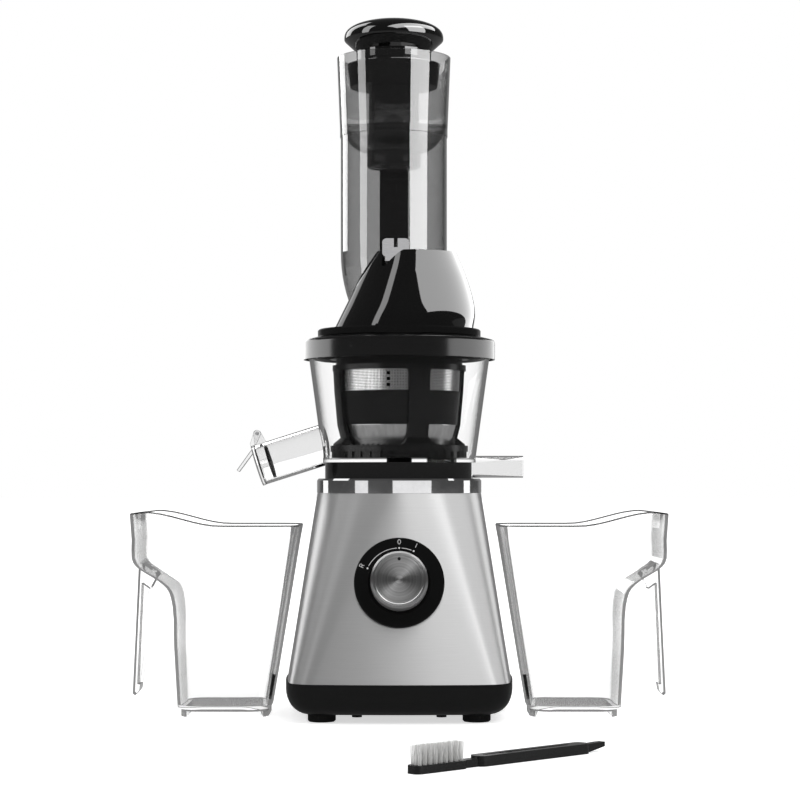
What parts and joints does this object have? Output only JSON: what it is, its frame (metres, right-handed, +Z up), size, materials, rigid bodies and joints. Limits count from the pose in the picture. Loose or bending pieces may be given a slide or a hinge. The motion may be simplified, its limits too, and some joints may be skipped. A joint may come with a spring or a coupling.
{
  "type": "cold press juicer",
  "caption": "Vertical cold press juicer with steel motor base, dial, clear bowl with strainer and auger, lid with feed chute, hopper cup and pusher, jugs and cleaning brush.",
  "frame": {"origin": "on the table, on the axis of the drive shaft", "axes": "+Z up along the drive shaft; the dial faces -Y; the juice spout points to -X"},
  "size_m": [0.3892, 0.4249, 0.5133],
  "materials": {
    "rubber": "matt",
    "base_black": "satin",
    "steel_brushed": "vertical brush",
    "chrome": "mirror",
    "deck_black": "satin",
    "gloss_black": "high gloss",
    "lid_black": "satin",
    "knob_steel": "spun",
    "machine_steel": "turned",
    "cast_alloy": "cast",
    "copper": "enamelled",
    "bronze": "sintered",
    "gear_nylon": "natural",
    "switch_grey": "moulded",
    "clear_plastic": "clear",
    "smoke_plastic": "smoke tint",
    "silicone": "matt",
    "gasket": "matt",
    "auger_black": "satin",
    "jug_clear": "clear",
    "brush_black": "satin",
    "bristle": "nylon tufts"
  },
  "bodies": {
    "motor_base": {"feet": "rubber", "base_plate": "base_black", "base_screws": "machine_steel", "base_housing": "base_black", "cord_grommet": "rubber", "body_shell": "steel_brushed", "collar": "chrome", "top_deck": "deck_black", "deck_bush": "bronze", "shaft_seal": "silicone", "interlock_switch": "switch_grey", "dial_bezel": "gloss_black", "selector_switch": "switch_grey", "motor_brackets": "cast_alloy", "stator": "machine_steel", "windings": "copper", "bearings": "machine_steel", "gearbox_housing": "cast_alloy", "gearbox_cover": "cast_alloy", "gearbox_screws": "machine_steel", "countershaft_pin": "machine_steel"},
    "dial_knob": {"knob_cap": "knob_steel", "knob_core": "base_black", "switch_spindle": "machine_steel"},
    "motor_rotor": {"rotor": "machine_steel", "rotor_shaft": "machine_steel", "cooling_fan": "gear_nylon"},
    "countershaft": {"countershaft_gear": "gear_nylon"},
    "drive": {"output_gear": "gear_nylon", "drive_shaft": "machine_steel"},
    "bowl_unit": {"bowl": "clear_plastic", "bowl_base": "lid_black", "hub_seal": "silicone", "juice_spout": "clear_plastic", "pulp_outlet": "clear_plastic", "cap_pin": "machine_steel", "idler_pin": "machine_steel", "strainer": "knob_steel", "strainer_frame": "lid_black"},
    "spout_flap": {"spout_cap": "clear_plastic", "cap_plug": "silicone"},
    "idler": {"idler_gear": "gear_nylon"},
    "wiper": {"wiper_frame": "lid_black", "wiper_blades": "silicone"},
    "auger_unit": {"auger": "auger_black", "auger_coupling": "gear_nylon"},
    "lid_unit": {"lid": "lid_black", "lid_gasket": "gasket", "lid_bush": "gear_nylon", "lid_dome": "gloss_black", "chute": "smoke_plastic", "chute_spine": "gloss_black"},
    "latch": {"latch_button": "chrome"},
    "hopper": {"hopper_cup": "smoke_plastic"},
    "pusher_unit": {"pusher_grip": "gloss_black", "pusher_plunger": "smoke_plastic"},
    "juice_jug_unit": {"juice_jug": "jug_clear"},
    "pulp_jug_unit": {"pulp_jug": "jug_clear"},
    "brush_unit": {"brush_handle": "brush_black", "brush_bristles": "bristle"}
  },
  "joints": [
    {"name": "knob_turn", "type": "hinge", "parent": "motor_base", "child": "dial_knob", "pos_m": [0, -0.07001, 0.099], "axis": [0, -0.9876, 0.157], "range_deg": [-24.6, 65.6]},
    {"name": "drive_spin", "type": "hinge", "parent": "motor_base", "child": "drive", "pos_m": [0, 0, 0], "axis": [0, 0, 1], "continuous": true},
    {"name": "rotor_spin", "type": "hinge", "parent": "motor_base", "child": "motor_rotor", "pos_m": [0, 0, 0], "axis": [0, 0, 1], "continuous": true},
    {"name": "countershaft_spin", "type": "hinge", "parent": "motor_base", "child": "countershaft", "pos_m": [0, 0.0325, 0], "axis": [0, 0, 1], "continuous": true},
    {"name": "bowl_lift", "type": "slide", "parent": "motor_base", "child": "bowl_unit", "axis": [0, 0, 1], "range_m": [0, 0.06]},
    {"name": "auger_spin", "type": "hinge", "parent": "bowl_unit", "child": "auger_unit", "pos_m": [0, 0, 0], "axis": [0, 0, 1], "continuous": true},
    {"name": "idler_spin", "type": "hinge", "parent": "bowl_unit", "child": "idler", "pos_m": [-0.027, 0, 0], "axis": [0, 0, 1], "continuous": true},
    {"name": "wiper_spin", "type": "hinge", "parent": "bowl_unit", "child": "wiper", "pos_m": [0, 0, 0], "axis": [0, 0, 1], "continuous": true},
    {"name": "cap_swing", "type": "hinge", "parent": "bowl_unit", "child": "spout_flap", "pos_m": [-0.10438, 0, 0.20543], "axis": [0, 1, 0], "range_deg": [0, 110]},
    {"name": "lid_lift", "type": "slide", "parent": "bowl_unit", "child": "lid_unit", "axis": [0, 0, 1], "range_m": [0, 0.12]},
    {"name": "latch_press", "type": "slide", "parent": "lid_unit", "child": "latch", "axis": [0, 0, -1], "range_m": [0, 0.003], "stiffness_N_per_m": 400, "springref_m": -0.002},
    {"name": "hopper_lift", "type": "slide", "parent": "lid_unit", "child": "hopper", "axis": [0, 0, 1], "range_m": [0, 0.1]},
    {"name": "pusher_lift", "type": "slide", "parent": "hopper", "child": "pusher_unit", "axis": [0, 0, 1], "range_m": [0, 0.11]},
    {"name": "juice_jug_slide", "type": "slide", "parent": "motor_base", "child": "juice_jug_unit", "axis": [-1, 0, 0], "range_m": [0, 0.15]},
    {"name": "pulp_jug_slide", "type": "slide", "parent": "motor_base", "child": "pulp_jug_unit", "axis": [1, 0, 0], "range_m": [0, 0.15]},
    {"name": "brush_lift", "type": "slide", "parent": "motor_base", "child": "brush_unit", "axis": [0, 0, 1], "range_m": [0, 0.1]}
  ],
  "couplings": [
    {"joint": "rotor_spin", "follows": "drive_spin", "ratio": 16.364},
    {"joint": "countershaft_spin", "follows": "drive_spin", "ratio": -3.3333},
    {"joint": "auger_spin", "follows": "drive_spin", "ratio": 1},
    {"joint": "idler_spin", "follows": "drive_spin", "ratio": -1.25},
    {"joint": "wiper_spin", "follows": "drive_spin", "ratio": -0.38461}
  ]
}
